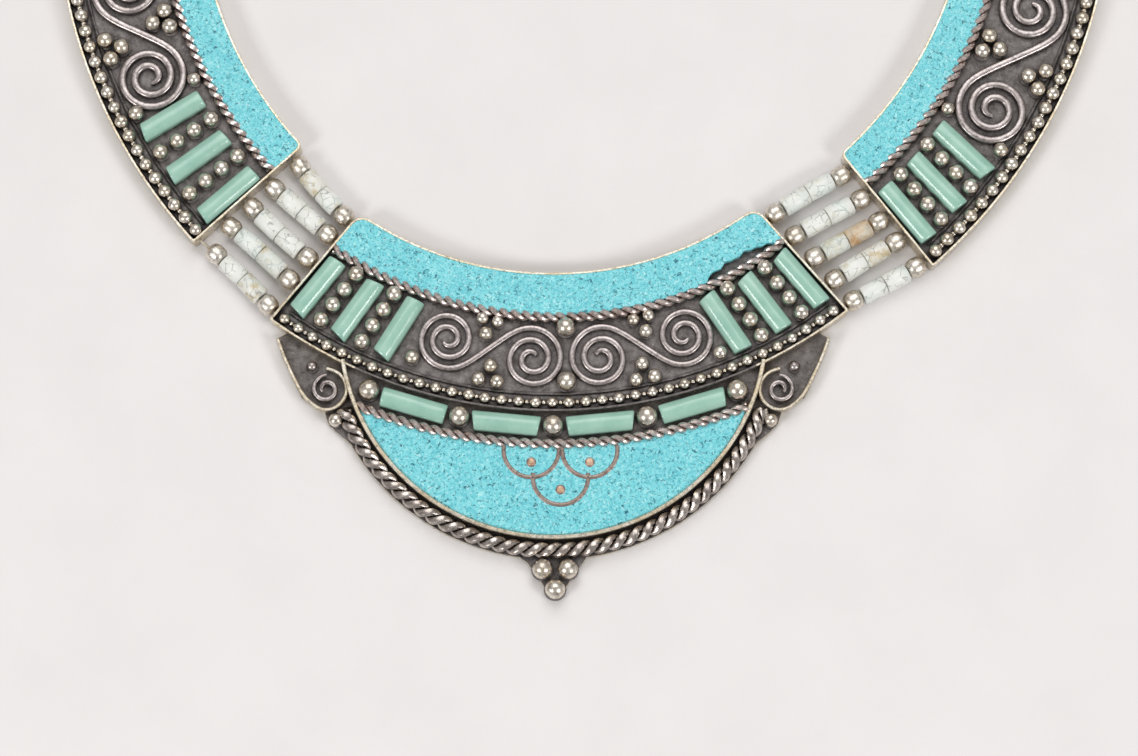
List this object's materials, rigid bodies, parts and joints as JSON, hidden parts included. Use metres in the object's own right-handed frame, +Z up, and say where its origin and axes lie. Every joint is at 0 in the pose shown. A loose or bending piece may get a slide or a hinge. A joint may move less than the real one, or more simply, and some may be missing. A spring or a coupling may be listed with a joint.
{
  "type": "bib necklace",
  "caption": "Silver bib necklace with a half-moon drop, turquoise-coloured inlays, sea-green baguettes and bead strings.",
  "frame": {"origin": "under the middle of the necklace's outer box, on the surface that it lies on", "axes": "+Z up out of the face, +Y from the drop towards the nape, +X towards the wearer's left as it lies face up"},
  "size_m": [0.2054, 0.1948, 0.0054],
  "materials": {
    "dark_silver": "oxidised silver",
    "silver": "worn silver",
    "turquoise": "chip inlay in resin",
    "seafoam": "polished",
    "howlite": "veined, with silver beads at the ends"
  },
  "bodies": {
    "root": {"centre_panel": "dark_silver", "left_panel": "dark_silver", "right_panel": "dark_silver", "centre_inlay": "turquoise", "left_inlay": "turquoise", "right_inlay": "turquoise", "drop_inlay": "turquoise", "scallop_inlay_1": "turquoise", "scallop_inlay_2": "turquoise", "scallop_inlay_3": "turquoise", "centre_bar_1": "seafoam", "centre_bar_2": "seafoam", "centre_bar_3": "seafoam", "centre_bar_4": "seafoam", "centre_bar_5": "seafoam", "centre_bar_6": "seafoam", "drop_bar_1": "seafoam", "drop_bar_2": "seafoam", "drop_bar_3": "seafoam", "drop_bar_4": "seafoam", "left_bar_1": "seafoam", "left_bar_2": "seafoam", "left_bar_3": "seafoam", "left_bar_4": "seafoam", "left_bar_5": "seafoam", "left_bar_6": "seafoam", "right_bar_1": "seafoam", "right_bar_2": "seafoam", "right_bar_3": "seafoam", "right_bar_4": "seafoam", "right_bar_5": "seafoam", "right_bar_6": "seafoam", "left_string_1": "howlite", "left_string_2": "howlite", "left_string_3": "howlite", "left_string_4": "howlite", "left_string_5": "howlite", "right_string_1": "howlite", "right_string_2": "howlite", "right_string_3": "howlite", "right_string_4": "howlite", "right_string_5": "howlite", "left_chain": "silver", "right_chain": "silver", "clasp": "silver"}
  },
  "joints": []
}
